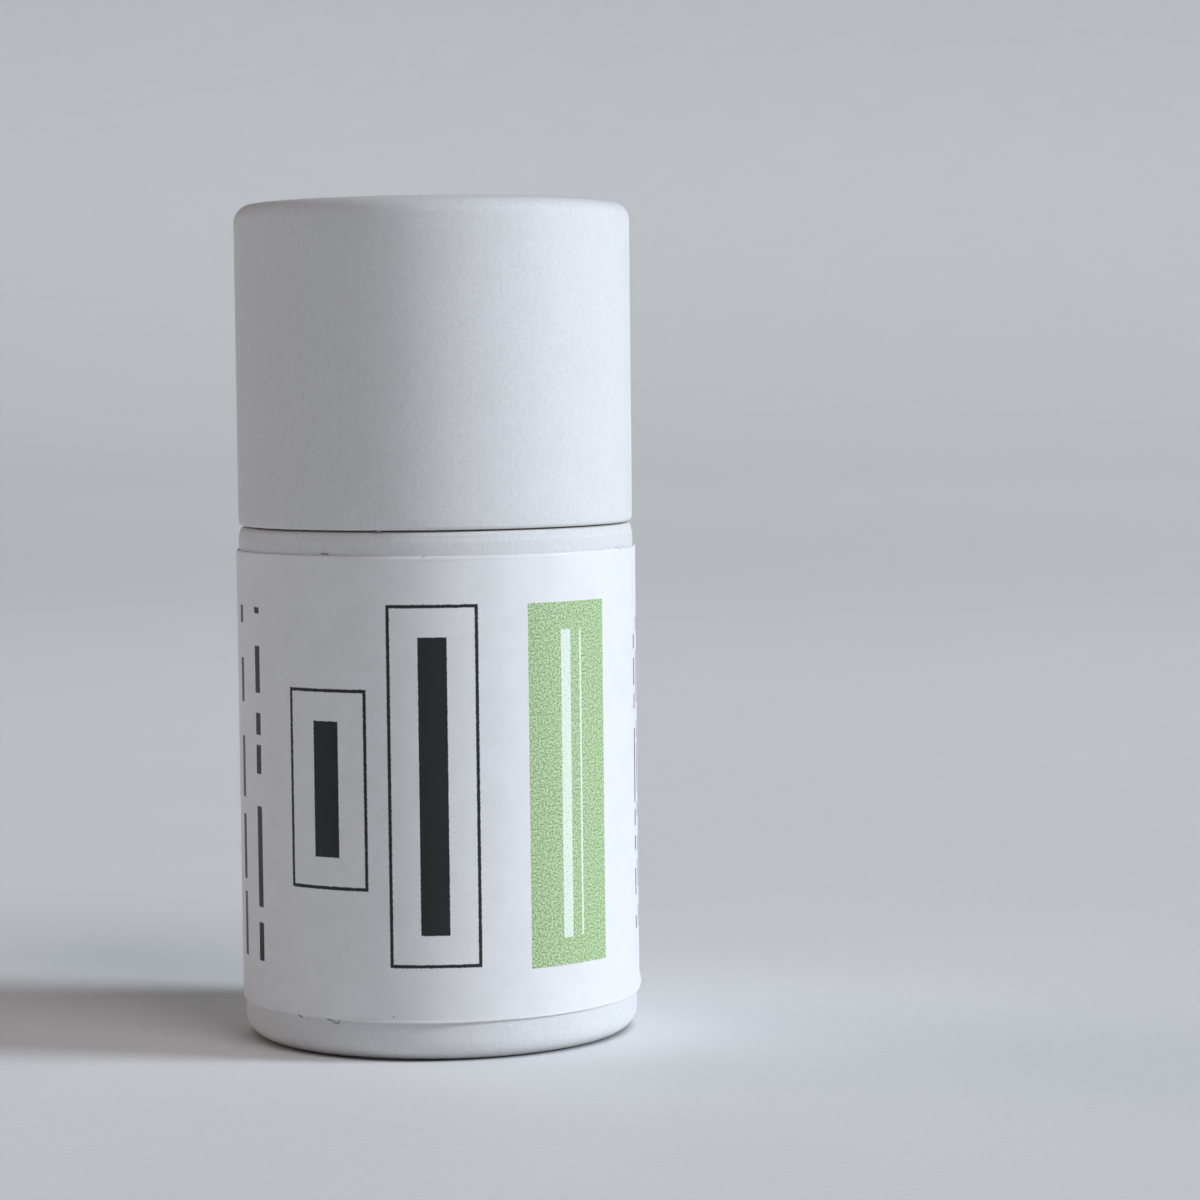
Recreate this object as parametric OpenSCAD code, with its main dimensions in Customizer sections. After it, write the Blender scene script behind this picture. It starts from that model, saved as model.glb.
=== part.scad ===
// Push-up lip balm stick in a paper tube.
// A board tube with a rolled bottom rim holds a lined neck, a push-up cup and the balm.
// The cap is a second tube with a rolled top rim, and slides over the neck.
// The origin is the centre of the bottom rim, +Z runs up the tube, and the label's front faces -Y.

/* [Tube] */
// Outside diameter of the closed tube
tube_d = 24; // [21:0.5:32]
// Height of the base, from the table to the shoulder that the cap meets
base_h = 31; // [24:0.5:45]
// Thickness of the base's wound board
base_wall = 1.0; // [0.8:0.05:1.4]
// Thickness of the white outer paper on the base and the cap
wrap_t = 0.15; // [0.1:0.01:0.2]
// Radius of the shoulder's worn outer edge
shoulder_edge_r = 0.4; // [0.1:0.02:0.5]
// Glue line between two layers of paper or board
glue_t = 0.03; // [0.02:0.01:0.05]

/* [Rolled rims] */
// Radial width of a rolled rim, from the outside of the tube to its nose
roll_w = 3.4; // [3:0.1:4.5]
// Height of a rolled rim
roll_h = 2.0; // [1.7:0.1:2.6]
// Radius of the base's rounded bottom edge
base_edge_r = 1.3; // [0.8:0.05:1.5]
// Radius of the cap's rounded top edge
cap_edge_r = 1.1; // [0.8:0.05:1.5]

/* [Neck] */
// Height of the neck above the shoulder
neck_h = 10.5; // [7:0.5:13]
// Thickness of the neck's wound board
neck_wall = 0.6; // [0.4:0.05:0.9]
// Thickness of the white paper round the neck
neck_wrap_t = 0.12; // [0.08:0.01:0.2]
// Thickness of the greaseproof linings and facings
liner_t = 0.12; // [0.08:0.01:0.2]
// Radius of the rim's outer edge
rim_out_r = 0.3; // [0.15:0.05:0.4]
// Radius of the rim's inner edge
rim_in_r = 0.1; // [0.05:0.01:0.12]

/* [Cap] */
// Length of the cap
cap_h = 19.3; // [18:0.1:26]
// Gap that stays between the closed cap and the shoulder
cap_gap = 0.15; // [0.1:0.05:0.3]
// Radial clearance between the neck and the cap's lining
cap_fit = 0.1; // [0.06:0.01:0.2]
// Radius of the cap's outer edge at its mouth
mouth_edge_r = 0.24; // [0.1:0.02:0.5]
// Thickness of the board disc that closes the cap
cap_disc_t = 1.2; // [0.8:0.1:1.6]
// Thickness of the white paper on top of that disc
disc_paper_t = 0.15; // [0.1:0.01:0.2]

/* [Push-up cup] */
// Radial clearance between the lined bore and what slides in it
push_fit = 0.07; // [0.05:0.01:0.12]
// Gap between the resting cup and the rolled rim
push_rest = 0.05; // [0.03:0.01:0.1]
// Height of the cup's paper skirt
skirt_h = 7.5; // [6:0.5:11]
// Thickness of the skirt
skirt_t = 0.5; // [0.4:0.05:0.7]
// Thickness of the push disc
push_disc_t = 1.6; // [1:0.1:2.2]

/* [Balm] */
// Distance of the balm's edge below the rim
fill_gap = 0.35; // [0.2:0.05:2]
// Depth of the dish in the balm's top
dish_depth = 1.6; // [0.8:0.1:2.4]
// Radius of the dimple that is left where the balm set last
dimple_r = 1.5; // [1:0.1:3]
// Depth of that dimple
dimple_depth = 0.18; // [0.1:0.02:0.3]

/* [Label] */
// Height of the label
label_h = 27.2; // [16:0.2:27.4]
// Height of the label's lower edge above the table
label_z = 2.45; // [2.2:0.05:4]
// Thickness of the label
label_t = 0.13; // [0.08:0.01:0.2]
// Length of the lap where the label's end lies over its start
label_lap = 4; // [2:0.5:8]
// Length in which the label's end climbs onto its start
label_climb = 1.5; // [1:0.1:3]

/* [Hidden] */
$fn = 96;

// Overrun of a cutting shape past the face that it cuts
cut = 1;
// The outer paper and the glue under it
skin = wrap_t + glue_t;

// Radii from the outside in
tube_r = tube_d / 2;
board_r = tube_r - skin;
base_bore_r = board_r - base_wall;
neck_r = base_bore_r - glue_t;
neck_board_r = neck_r - neck_wrap_t - glue_t;
neck_bore_r = neck_board_r - neck_wall;
liner_r = neck_bore_r - glue_t;
bore_r = liner_r - liner_t;
push_r = bore_r - push_fit;
nose_r = tube_r - roll_w;

// Radii inside the cap
cap_bore_r = neck_r + cap_fit;
cap_liner_r = cap_bore_r + liner_t;
cap_board_bore_r = cap_liner_r + glue_t;
cap_disc_r = cap_board_bore_r - glue_t;

// Heights of the base and the neck
rim_z = base_h + neck_h;
neck_foot_z = roll_h + glue_t;

// Heights of the cap, from its mouth to the underside of its seal
mouth_z = base_h + cap_gap;
top_z = mouth_z + cap_h;
disc_paper_z = top_z - roll_h - glue_t - disc_paper_t;
cap_disc_z = disc_paper_z - glue_t - cap_disc_t;
cap_seal_z = cap_disc_z - glue_t - liner_t;

// Heights of the push-up cup and the balm
skirt_z = roll_h + push_rest;
skirt_top_z = skirt_z + skirt_h;
push_disc_z = skirt_top_z - push_disc_t;
facing_z = skirt_top_z + glue_t;
balm_z = facing_z + liner_t + glue_t;
balm_edge_z = rim_z - fill_gap;
dish_z = balm_edge_z - dish_depth;

// Colours
paper_white = [0.94, 0.94, 0.95];
board_cream = [0.84, 0.80, 0.73];
liner_ivory = [0.93, 0.93, 0.88];
balm_ivory = [0.91, 0.92, 0.82];
label_white = [0.98, 0.98, 0.98];

// Radius of the sphere whose cap has this half width and this depth
function dish_sphere_r(half_w, depth) = (half_w * half_w + depth * depth) / (2 * depth);

// Angle that an arc of this length takes on a circle of radius r
function arc_angle(length, r) = length / r * 180 / PI;

// Point at radius r and angle a
function on_circle(r, a) = [r * cos(a), r * sin(a)];

// Rectangle from corner to corner in a section of radius and height
module span(r0, r1, z0, z1) {
    translate([r0, z0]) square([r1 - r0, z1 - z0]);
}

// Plain ring between two radii and two heights
module ring(r0, r1, z0, z1) {
    rotate_extrude() span(r0, r1, z0, z1);
}

// Section of a wall whose upper outer edge is rounded, with the rest left square
module round_top_out(r0, r1, z0, z1, edge_r) {
    span(r0, r1 - edge_r, z0, z1);
    span(r0, r1, z0, z1 - edge_r);
    intersection() {
        translate([r1 - edge_r, z1 - edge_r]) circle(edge_r);
        span(r1 - edge_r, r1, z1 - edge_r, z1);
    }
}

// Section of a tube with a rolled rim at height 0 and its wall going up to z_end.
// The rim has a rounded outer edge and a half-round nose, and inset draws every
// outer line in by that much, which gives the board under the paper.
module rolled_section(wall_r, z_end, edge_r, inset = 0) {
    out_r = tube_r - inset;
    corner_r = edge_r - inset;
    nose_half = roll_h / 2 - inset;
    nose_mid_r = nose_r + roll_h / 2;
    span(wall_r, out_r, edge_r, z_end);
    span(nose_mid_r, tube_r - edge_r, inset, roll_h - inset);
    span(tube_r - edge_r, out_r, edge_r, roll_h - inset);
    intersection() {
        translate([tube_r - edge_r, edge_r]) circle(corner_r);
        span(tube_r - edge_r, out_r, inset, edge_r);
    }
    translate([nose_mid_r, roll_h / 2]) circle(nose_half);
}

// Outline of the base: rolled rim below, worn shoulder edge above
module base_section(inset = 0) {
    intersection() {
        rolled_section(base_bore_r, base_h, base_edge_r, inset);
        round_top_out(0, tube_r, 0, base_h, shoulder_edge_r);
    }
}

// Outline of the cap, drawn with its rolled top at height 0 and its mouth at cap_h
module cap_section(inset = 0) {
    intersection() {
        rolled_section(cap_board_bore_r, cap_h, cap_edge_r, inset);
        round_top_out(0, tube_r, 0, cap_h, mouth_edge_r);
    }
}

// Outline of the neck's whole wall, with its rim rounded on both edges
module neck_section() {
    difference() {
        round_top_out(bore_r, neck_r, neck_foot_z, rim_z, rim_out_r);
        difference() {
            span(bore_r - cut, bore_r + rim_in_r, rim_z - rim_in_r, rim_z + cut);
            translate([bore_r + rim_in_r, rim_z - rim_in_r]) circle(rim_in_r);
        }
    }
}

// One layer of the neck's wall, between two radii
module neck_layer(r0, r1) {
    rotate_extrude() intersection() {
        neck_section();
        span(r0, r1, 0, rim_z + cut);
    }
}

// Turns what is drawn from the cap's top downwards into place on the closed tube
module cap_upright() {
    translate([0, 0, top_z]) mirror([0, 0, 1]) children();
}

// Wound board tube of the base, rolled inwards at its foot
module base_tube() {
    color(board_cream) rotate_extrude() base_section(skin);
}

// White paper of the base: over the wall, round the rolled rim and tucked in above it
module base_wrap() {
    color(paper_white) rotate_extrude() difference() {
        base_section();
        rolled_section(base_bore_r - glue_t, base_h + cut, base_edge_r, wrap_t);
    }
}

// Wound board tube that is glued into the base and forms the neck
module neck_tube() {
    color(board_cream) neck_layer(neck_bore_r, neck_board_r);
}

// White paper round the neck
module neck_wrap() {
    color(paper_white) neck_layer(neck_board_r + glue_t, neck_r);
}

// Greaseproof lining of the bore
module neck_liner() {
    color(liner_ivory) neck_layer(bore_r, liner_r);
}

// Ring sector in the plane, from angle a0 to a1, less than half a turn
module arc_sheet(r0, r1, a0, a1) {
    far = 2 * r1;
    intersection() {
        difference() {
            circle(r1);
            circle(r0);
        }
        polygon([[0, 0], on_circle(far, a0), on_circle(far, (a0 + a1) / 2), on_circle(far, a1)]);
    }
}

// Paper label, wrapped once round the base and lapped over its own start at the back
module label() {
    in_r = tube_r + glue_t;
    out_r = in_r + label_t;
    lap_r = out_r + glue_t;
    lap_out_r = lap_r + label_t;
    lap_a = arc_angle(label_lap, tube_r);
    climb_a = arc_angle(label_climb, tube_r);
    // The sheet starts at start_a, goes once round and climbs back onto its start
    start_a = 90 - lap_a / 2;
    // Angle by which joined stretches of the sheet run into each other
    blend_a = 0.2;
    far = 2 * lap_out_r;
    color(label_white) translate([0, 0, label_z]) linear_extrude(label_h) {
        difference() {
            circle(out_r);
            circle(in_r);
            polygon([[0, 0], on_circle(far, start_a - climb_a), on_circle(far, start_a)]);
        }
        polygon([
            on_circle(in_r, start_a - climb_a - blend_a),
            on_circle(out_r, start_a - climb_a - blend_a),
            on_circle(lap_out_r, start_a + blend_a),
            on_circle(lap_r, start_a + blend_a)
        ]);
        arc_sheet(lap_r, lap_out_r, start_a, start_a + lap_a);
    }
}

// Paper skirt of the push-up cup, which stands on the rolled rim
module push_skirt() {
    color(board_cream) ring(push_r - skirt_t, push_r, skirt_z, skirt_top_z);
}

// Board disc in the top of the skirt, which the finger presses on
module push_disc() {
    color(board_cream) translate([0, 0, push_disc_z])
        cylinder(h = push_disc_t, r = push_r - skirt_t - glue_t);
}

// Greaseproof facing between the cup and the balm
module push_facing() {
    color(liner_ivory) translate([0, 0, facing_z]) cylinder(h = liner_t, r = push_r);
}

// Balm, poured into the tube, with a dished top and a dimple in its middle
module balm() {
    dish_r = dish_sphere_r(push_r, dish_depth);
    dimple_sphere_r = dish_sphere_r(dimple_r, dimple_depth);
    color(balm_ivory) difference() {
        translate([0, 0, balm_z]) cylinder(h = balm_edge_z - balm_z, r = push_r);
        translate([0, 0, dish_z + dish_r]) sphere(dish_r, $fn = 192);
        translate([0, 0, dish_z - dimple_depth + dimple_sphere_r]) sphere(dimple_sphere_r);
    }
}

// Wound board tube of the cap, rolled inwards at its top
module cap_tube() {
    color(board_cream) cap_upright() rotate_extrude() cap_section(skin);
}

// White paper of the cap: over the wall, round the rolled rim and tucked in under it
module cap_wrap() {
    color(paper_white) cap_upright() rotate_extrude() difference() {
        cap_section();
        rolled_section(cap_board_bore_r - glue_t, cap_h + cut, cap_edge_r, wrap_t);
    }
}

// Greaseproof lining of the cap, which slides on the neck
module cap_liner() {
    color(liner_ivory) ring(cap_bore_r, cap_liner_r, mouth_z, cap_seal_z - glue_t);
}

// Board disc that closes the cap under the rolled rim
module cap_disc() {
    color(board_cream) translate([0, 0, cap_disc_z]) cylinder(h = cap_disc_t, r = cap_disc_r);
}

// White paper on top of the cap's disc
module cap_disc_paper() {
    color(paper_white) translate([0, 0, disc_paper_z])
        cylinder(h = disc_paper_t, r = cap_disc_r);
}

// Greaseproof seal on the underside of the cap's disc
module cap_seal() {
    color(liner_ivory) translate([0, 0, cap_seal_z]) cylinder(h = liner_t, r = cap_disc_r);
}

base_tube();
base_wrap();
neck_tube();
neck_wrap();
neck_liner();
label();
push_skirt();
push_disc();
push_facing();
balm();
cap_tube();
cap_wrap();
cap_liner();
cap_disc();
cap_disc_paper();
cap_seal();
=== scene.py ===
import math

import bmesh
import bpy
from mathutils import Matrix, Vector, noise


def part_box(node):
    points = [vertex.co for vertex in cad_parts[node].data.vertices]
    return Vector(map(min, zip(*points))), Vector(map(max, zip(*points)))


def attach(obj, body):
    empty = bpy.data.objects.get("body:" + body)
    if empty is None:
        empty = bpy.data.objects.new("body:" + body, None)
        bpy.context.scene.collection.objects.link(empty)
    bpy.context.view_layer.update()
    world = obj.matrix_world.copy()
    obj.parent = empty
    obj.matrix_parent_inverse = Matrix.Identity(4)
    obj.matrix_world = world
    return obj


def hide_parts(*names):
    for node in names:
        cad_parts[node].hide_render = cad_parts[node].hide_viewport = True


# Closed lip balm stick in a white paper tube, standing on a pale sweep.
# +Z runs up the tube and the label's front faces -Y. Sizes in the dictionaries are millimetres.
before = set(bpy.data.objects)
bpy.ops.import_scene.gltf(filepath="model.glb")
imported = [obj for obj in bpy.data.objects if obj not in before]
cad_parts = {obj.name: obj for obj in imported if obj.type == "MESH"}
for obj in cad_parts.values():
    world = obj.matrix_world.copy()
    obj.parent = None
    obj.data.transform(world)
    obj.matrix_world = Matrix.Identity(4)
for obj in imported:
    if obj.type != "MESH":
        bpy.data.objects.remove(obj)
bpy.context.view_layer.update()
mm = 0.001
fullTurn = 2 * math.pi

# the boards reach the joint, the papers' rounded edges end a little short of it
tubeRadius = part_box("base_wrap")[1].x / mm
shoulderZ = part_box("base_tube")[1].z / mm
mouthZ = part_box("cap_tube")[0].z / mm
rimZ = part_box("neck_tube")[1].z / mm
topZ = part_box("cap_wrap")[1].z / mm
print("frame loaded, tube radius", round(tubeRadius, 3), "mm")


def ease(low, high, x):
    t = min(1.0, max(0.0, (x - low) / (high - low)))
    return t * t * (3 - 2 * t)


def ripple(turn, height, frequency, seed):
    # smooth noise that closes on itself round the tube, about -1 to 1
    spot = (math.cos(turn) * frequency, math.sin(turn) * frequency, height + seed)
    return noise.noise(Vector(spot))


def turnOf(point):
    # angle round the tube, 0 at the front and growing to the right
    return math.atan2(point.x, -point.y)


def stretch(start, end, steps):
    return [(start[0] + (end[0] - start[0]) * i / steps,
             start[1] + (end[1] - start[1]) * i / steps) for i in range(steps + 1)]


def arc(centre, radius, startAngle, endAngle, steps):
    points = []
    for i in range(steps + 1):
        a = math.radians(startAngle + (endAngle - startAngle) * i / steps)
        points.append((centre[0] + radius * math.cos(a), centre[1] + radius * math.sin(a)))
    return points


def spinSection(points, weights, steps):
    # points are radius and height, weights say how much of each effect a point takes
    bm = bmesh.new()
    layers = {key: bm.verts.layers.float.new(key) for key in ["along", *weights]}
    verts, along, last = [], 0.0, points[0]
    for i, point in enumerate(points):
        along += math.dist(point, last)
        last = point
        vert = bm.verts.new((point[0] * mm, 0, point[1] * mm))
        vert[layers["along"]] = along
        for key, values in weights.items():
            vert[layers[key]] = values[i]
        verts.append(vert)
    edges = [bm.edges.new(pair) for pair in zip(verts, verts[1:])]
    bmesh.ops.spin(bm, geom=verts + edges, cent=(0, 0, 0), axis=(0, 0, 1),
                   angle=fullTurn, steps=steps, use_merge=True)
    bmesh.ops.remove_doubles(bm, verts=bm.verts[:], dist=0.001 * mm)
    bmesh.ops.recalc_face_normals(bm, faces=bm.faces[:])
    bm.normal_update()
    bm.faces.ensure_lookup_table()
    return bm, layers


def addRoundUv(bm):
    # u is the arc length from the front, v the run along the section, both in mm
    uvLayer = bm.loops.layers.uv.new("UVMap")
    along = bm.verts.layers.float["along"]
    for face in bm.faces:
        middle = turnOf(face.calc_center_median())
        for loop in face.loops:
            turn = turnOf(loop.vert.co)
            if turn - middle > math.pi:
                turn -= fullTurn
            elif middle - turn > math.pi:
                turn += fullTurn
            loop[uvLayer].uv = (turn * tubeRadius, loop.vert[along])


def sharpenEdges(bm, angle=50):
    limit = math.radians(angle)
    for edge in bm.edges:
        edge.smooth = len(edge.link_faces) == 2 and edge.calc_face_angle(0) < limit
    for face in bm.faces:
        face.smooth = True


def makePiece(bm, name):
    mesh = bpy.data.meshes.new(name)
    bm.to_mesh(mesh)
    bm.free()
    piece = bpy.data.objects.new(name, mesh)
    bpy.context.scene.collection.objects.link(piece)
    return piece


# Papers that are rolled in with the rims of the base and the cap
rolledRim = {
    "rollHeight": 2.0,
    "rollWidth": 3.4,  # from the tube's outside to the nose
    "paperThick": 0.15,
    "fineRun": 0.4,  # closely stepped stretch that ends the straight wall
    "stepsRound": 420,
}

capPaperValues = {
    "edgeRound": 1.1,  # rounded top edge
    "reach": 0.07,  # how far the cut edge reaches past the board
    "cutRound": 0.26,  # how the cut edge curls in at the mouth
    "cutBend": 68,  # degrees
    "taper": 0.02,  # how far the wall draws in towards the cut edge
    "taperHeight": 0.6,
    "tuckRadius": 11.01,
    "pleats": 54,
    "pleatDepth": 0.05,
    "wobble": 0.014,
    "cutWave": 0.022,
    "seamTurn": 168,  # degrees from the front
    "seamStep": 0.035,
    "seed": 3.0,
}

basePaperValues = {
    "edgeRound": 1.3,
    "reach": -0.02,
    "cutRound": 0.3,
    "cutBend": 72,
    "taper": 0.07,
    "taperHeight": 0.6,
    "tuckRadius": 10.79,
    "pleats": 50,
    "pleatDepth": 0.05,
    "wobble": 0.012,
    "cutWave": 0.012,
    "seamTurn": -172,
    "seamStep": 0.03,
    "seed": 11.0,
    "dent": 0.075,  # pressed-in line above the label, at the left
    "dentZ": 29.86,
    "dentReach": 0.17,
    "dentTurn": (-14, -30),  # degrees over which it grows to its full depth
    "dentRest": 0.12,  # share of the depth elsewhere round the tube
    "dentFade": (20, 24),  # heights over which it ends, under the label
}


def rolledSection(values, length):
    # tucked end, round the nose, over the rim and along the wall to the cut edge
    half = rolledRim["rollHeight"] / 2
    noseMid = tubeRadius - rolledRim["rollWidth"] + half
    edge, cut = values["edgeRound"], values["cutRound"]
    wallEnd = length - values["taperHeight"]
    fineStart = wallEnd - rolledRim["fineRun"]
    bend = values["cutBend"]
    cutCentre = (tubeRadius - values["taper"] - cut, length - cut * math.sin(math.radians(bend)))
    points = stretch((values["tuckRadius"], 2 * half), (noseMid, 2 * half), 3)
    fold = [1.0] * len(points)
    nose = arc((noseMid, half), half, 90, 270, 16)[1:]
    points += nose
    fold += [1.0] * len(nose)
    flat = stretch((noseMid, 0), (tubeRadius - edge, 0), 4)[1:]
    points += flat
    fold += [0.85, 0.7, 0.6, 0.5]
    corner = arc((tubeRadius - edge, edge), edge, -90, 0, 14)[1:]
    points += corner
    fold += [0.5 * (1 - ease(0, 0.7, (i + 1) / 14)) for i in range(14)]
    wall = stretch((tubeRadius, edge), (tubeRadius, fineStart), 15)[1:]
    wall += stretch((tubeRadius, fineStart), (tubeRadius, wallEnd), 8)[1:]
    for i in range(1, 7):  # the wall draws in a little before the cut edge
        share = i / 6
        height = wallEnd + (cutCentre[1] - wallEnd) * share
        wall.append((tubeRadius - values["taper"] * ease(0, 1, share), height))
    wall += arc(cutCentre, cut, 0, bend, 9)[1:]
    points += wall
    fold += [0.0] * len(wall)
    nearCut = [ease(0.9, 0.0, length - h) if r > noseMid else 0.0 for r, h in points]
    return points, {"fold": fold, "nearCut": nearCut}


def groove(turn, count, seed):
    # irregular pleats: narrow valleys between broad soft crowns
    phase = turn * count / 2 + 1.6 * ripple(turn, 0, 2.2, seed) + 0.9 * ripple(turn, 0, 7, seed)
    valley = 1 - abs(math.sin(phase)) ** 0.55
    return valley * (0.45 + 0.55 * abs(ripple(turn, 0, 5, seed + 9)))


def dentShift(values, turn, height):
    start, rest = values["dentZ"], values["dentRest"]
    around = rest + (1 - rest) * ease(*values["dentTurn"], math.degrees(turn))
    across = ease(start, start - values["dentReach"], height) * ease(*values["dentFade"], height)
    return values["dent"] * around * across


def rolledPaper(name, values, length, place):
    # place turns a height from the rolled rim into a height over the table
    points, weights = rolledSection(values, length)
    points = [(r, place(h)) for r, h in points]
    bm, layers = spinSection(points, weights, rolledRim["stepsRound"])
    growth = 1 if place(1) > place(0) else -1
    seam, seed = math.radians(values["seamTurn"]), values["seed"]
    for vert in bm.verts:
        turn = turnOf(vert.co)
        height = vert.co.z / mm
        shift = values["pleatDepth"] * vert[layers["fold"]] * groove(turn, values["pleats"], seed)
        shift += values["wobble"] * (0.5 + 0.5 * ripple(turn, height * 0.12, 1.4, seed + 4))
        behind = (seam - turn) % fullTurn  # how far this point lies before the lap's edge
        if behind < 0.5 and vert[layers["fold"]] < 0.01:
            shift += values["seamStep"] * ease(0.5, 0.0, behind)
        if "dent" in values:
            shift += dentShift(values, turn, height)
        vert.co -= vert.normal * shift * mm
        wave = 0.5 + 0.3 * ripple(turn, 0, 3, seed + 20) + 0.2 * ripple(turn, 0, 11, seed)
        vert.co.z -= growth * values["cutWave"] * vert[layers["nearCut"]] * wave * mm
    bmesh.ops.solidify(bm, geom=bm.faces[:], thickness=rolledRim["paperThick"] * mm)
    addRoundUv(bm)
    sharpenEdges(bm)
    return makePiece(bm, name)


capPaperLength = topZ - mouthZ + capPaperValues["reach"]
capPaper = rolledPaper("capPaper", capPaperValues, capPaperLength, lambda h: topZ - h)
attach(capPaper, "cap")
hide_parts("cap_wrap")

basePaperLength = shoulderZ + basePaperValues["reach"]
basePaper = rolledPaper("basePaper", basePaperValues, basePaperLength, lambda h: h)
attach(basePaper, "base")
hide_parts("base_wrap")
print("rolled papers made")


# Label: one sheet, wrapped once round and lapped at the back
labelLow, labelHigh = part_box("label")
labelValues = {
    "columns": 560,
    "thickness": 0.13,
    "lap": 4.0,
    "climb": 1.5,
    "edgeRows": [0, 0.02, 0.045, 0.08, 0.12, 0.17, 0.21, 0.25, 0.3, 0.38, 0.5, 0.75, 1.1, 1.6, 2.4],
    "middleRows": 12,
    "edgeRound": 0.045,
    "edgeWave": 0.035,
    "footDrop": 0.07,
    "topDrop": 0.03,
    "topDroop": 0.06,  # die-cut edge pressed in along the top
    "topCrest": 0.02,  # soft crest under the pressed edge
    "footLip": 0.11,  # lower edge that stands off a little
    "bulge": 0.11,  # corner that has come unstuck, at the right
    "bulgeTurn": 86,
    "wobble": 0.012,
}


def labelRows(values, height):
    near = values["edgeRows"]
    inner = height - 2 * near[-1]
    rows = list(near)
    rows += [near[-1] + inner * i / values["middleRows"] for i in range(1, values["middleRows"])]
    return rows + [height - row for row in reversed(near)]


def labelShift(values, turn, fromFoot, fromTop):
    # how far the sheet's outer face stands off its plain cylinder, in mm
    degrees = math.degrees(turn)
    nearest = min(fromFoot, fromTop)
    shift = -values["edgeRound"] * (1 - ease(-0.02, 0.07, nearest))
    shift += values["wobble"] * ripple(turn, fromFoot * 0.15, 1.7, 31)
    topZone = ease(-27, -15, degrees) * ease(42, 26, degrees)
    shift -= values["topDroop"] * (0.25 + 0.75 * topZone) * ease(0.17, 0.0, fromTop)
    shift += values["topCrest"] * topZone * ease(0.13, 0.0, abs(fromTop - 0.19))
    footZone = ease(-27, -19, degrees) * ease(16, -2, degrees)
    shift += values["footLip"] * (0.25 + 0.75 * footZone) * ease(0.2, 0.02, fromFoot)
    off = math.hypot((degrees - values["bulgeTurn"]) / 7.5, (fromFoot - 0.42) / 0.5)
    shift += values["bulge"] * ease(1.0, 0.0, off)
    return shift


def makeLabel(values):
    height = (labelHigh.z - labelLow.z) / mm
    rows = labelRows(values, height)
    halfLap = values["lap"] / tubeRadius / 2
    firstTurn, wholeTurn = -math.pi - halfLap, fullTurn + 2 * halfLap
    climbEnd = fullTurn
    climbStart = climbEnd - values["climb"] / tubeRadius
    outer, lapOuter = labelHigh.x / mm, labelHigh.y / mm
    bm = bmesh.new()
    bmesh.ops.create_grid(bm, x_segments=values["columns"], y_segments=len(rows) - 1, size=1)
    across = bm.verts.layers.float.new("across")
    along = bm.verts.layers.float.new("along")
    for vert in bm.verts:
        run = (vert.co.x + 1) / 2 * wholeTurn
        up = rows[round((vert.co.y + 1) / 2 * (len(rows) - 1))]
        turn = firstTurn + run
        radius = outer + (lapOuter - outer) * ease(climbStart, climbEnd, run)
        radius += labelShift(values, turn, up, height - up)
        edgeWave = values["edgeWave"] * (0.6 * ripple(turn, 0, 2, 51) + 0.4 * ripple(turn, 0, 14, 57))
        z = labelLow.z / mm + up + (edgeWave - values["footDrop"]) * ease(1.0, 0.0, up)
        z -= (edgeWave + values["topDrop"]) * ease(1.0, 0.0, height - up)
        vert[across] = turn * outer
        vert[along] = labelLow.z / mm + up
        vert.co = (radius * math.sin(turn) * mm, -radius * math.cos(turn) * mm, z * mm)
    bm.normal_update()
    bm.faces.ensure_lookup_table()
    first = bm.faces[0]
    if first.normal.dot(Vector((first.calc_center_median().x, first.calc_center_median().y, 0))) < 0:
        bmesh.ops.reverse_faces(bm, faces=bm.faces[:])
    bmesh.ops.solidify(bm, geom=bm.faces[:], thickness=values["thickness"] * mm)
    uvLayer = bm.loops.layers.uv.new("UVMap")
    for face in bm.faces:
        for loop in face.loops:
            loop[uvLayer].uv = (loop.vert[across], loop.vert[along])
    sharpenEdges(bm)
    return makePiece(bm, "labelSheet")


labelSheet = makeLabel(labelValues)
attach(labelSheet, "base")
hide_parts("label")
print("label made")


# Paper round the neck, with a slanting lap
neckLow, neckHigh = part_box("neck_wrap")
neckValues = {
    "thickness": 0.12,
    "rimRound": 0.3,
    "rimBend": 53,
    "seamSlope": 40,  # degrees from the ring direction
    "seamFoot": -52,  # where the lap's edge meets the shoulder, degrees from the front
    "seamStep": 0.04,
    "wobble": 0.012,
    "stepsRound": 420,
}


def makeNeckPaper(values):
    radius, foot, rim = neckHigh.x / mm, neckLow.z / mm, rimZ
    drop = values["rimRound"] * math.sin(math.radians(values["rimBend"]))
    centre = (radius - values["rimRound"], rim - drop)
    points = stretch((radius, foot), (radius, shoulderZ - 0.2), 4)
    points += stretch((radius, shoulderZ - 0.2), (radius, centre[1]), 40)[1:]
    points += arc(centre, values["rimRound"], 0, values["rimBend"], 8)[1:]
    seen = [ease(shoulderZ - 0.2, shoulderZ, z) for r, z in points]
    bm, layers = spinSection(points, {"seen": seen}, values["stepsRound"])
    seamLayer = bm.verts.layers.float.new("seam")
    slope = math.tan(math.radians(values["seamSlope"]))
    for vert in bm.verts:
        turn = turnOf(vert.co)
        run = (turn - math.radians(values["seamFoot"])) * radius
        lineZ = shoulderZ + run * slope + 0.12 * ripple(turn, 0, 6, 77)
        off = (vert.co.z / mm - lineZ) * math.cos(math.radians(values["seamSlope"]))
        off = max(-5.0, min(5.0, off))
        vert[seamLayer] = off
        shift = values["wobble"] * (0.5 + 0.5 * ripple(turn, vert.co.z / mm * 0.3, 1.8, 61))
        if off < 0:
            shift += values["seamStep"] * ease(-1.4, -0.02, off) * vert[layers["seen"]]
        vert.co -= vert.normal * shift * mm
    bmesh.ops.solidify(bm, geom=bm.faces[:], thickness=values["thickness"] * mm)
    addRoundUv(bm)
    sharpenEdges(bm)
    return makePiece(bm, "neckPaper")


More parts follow.
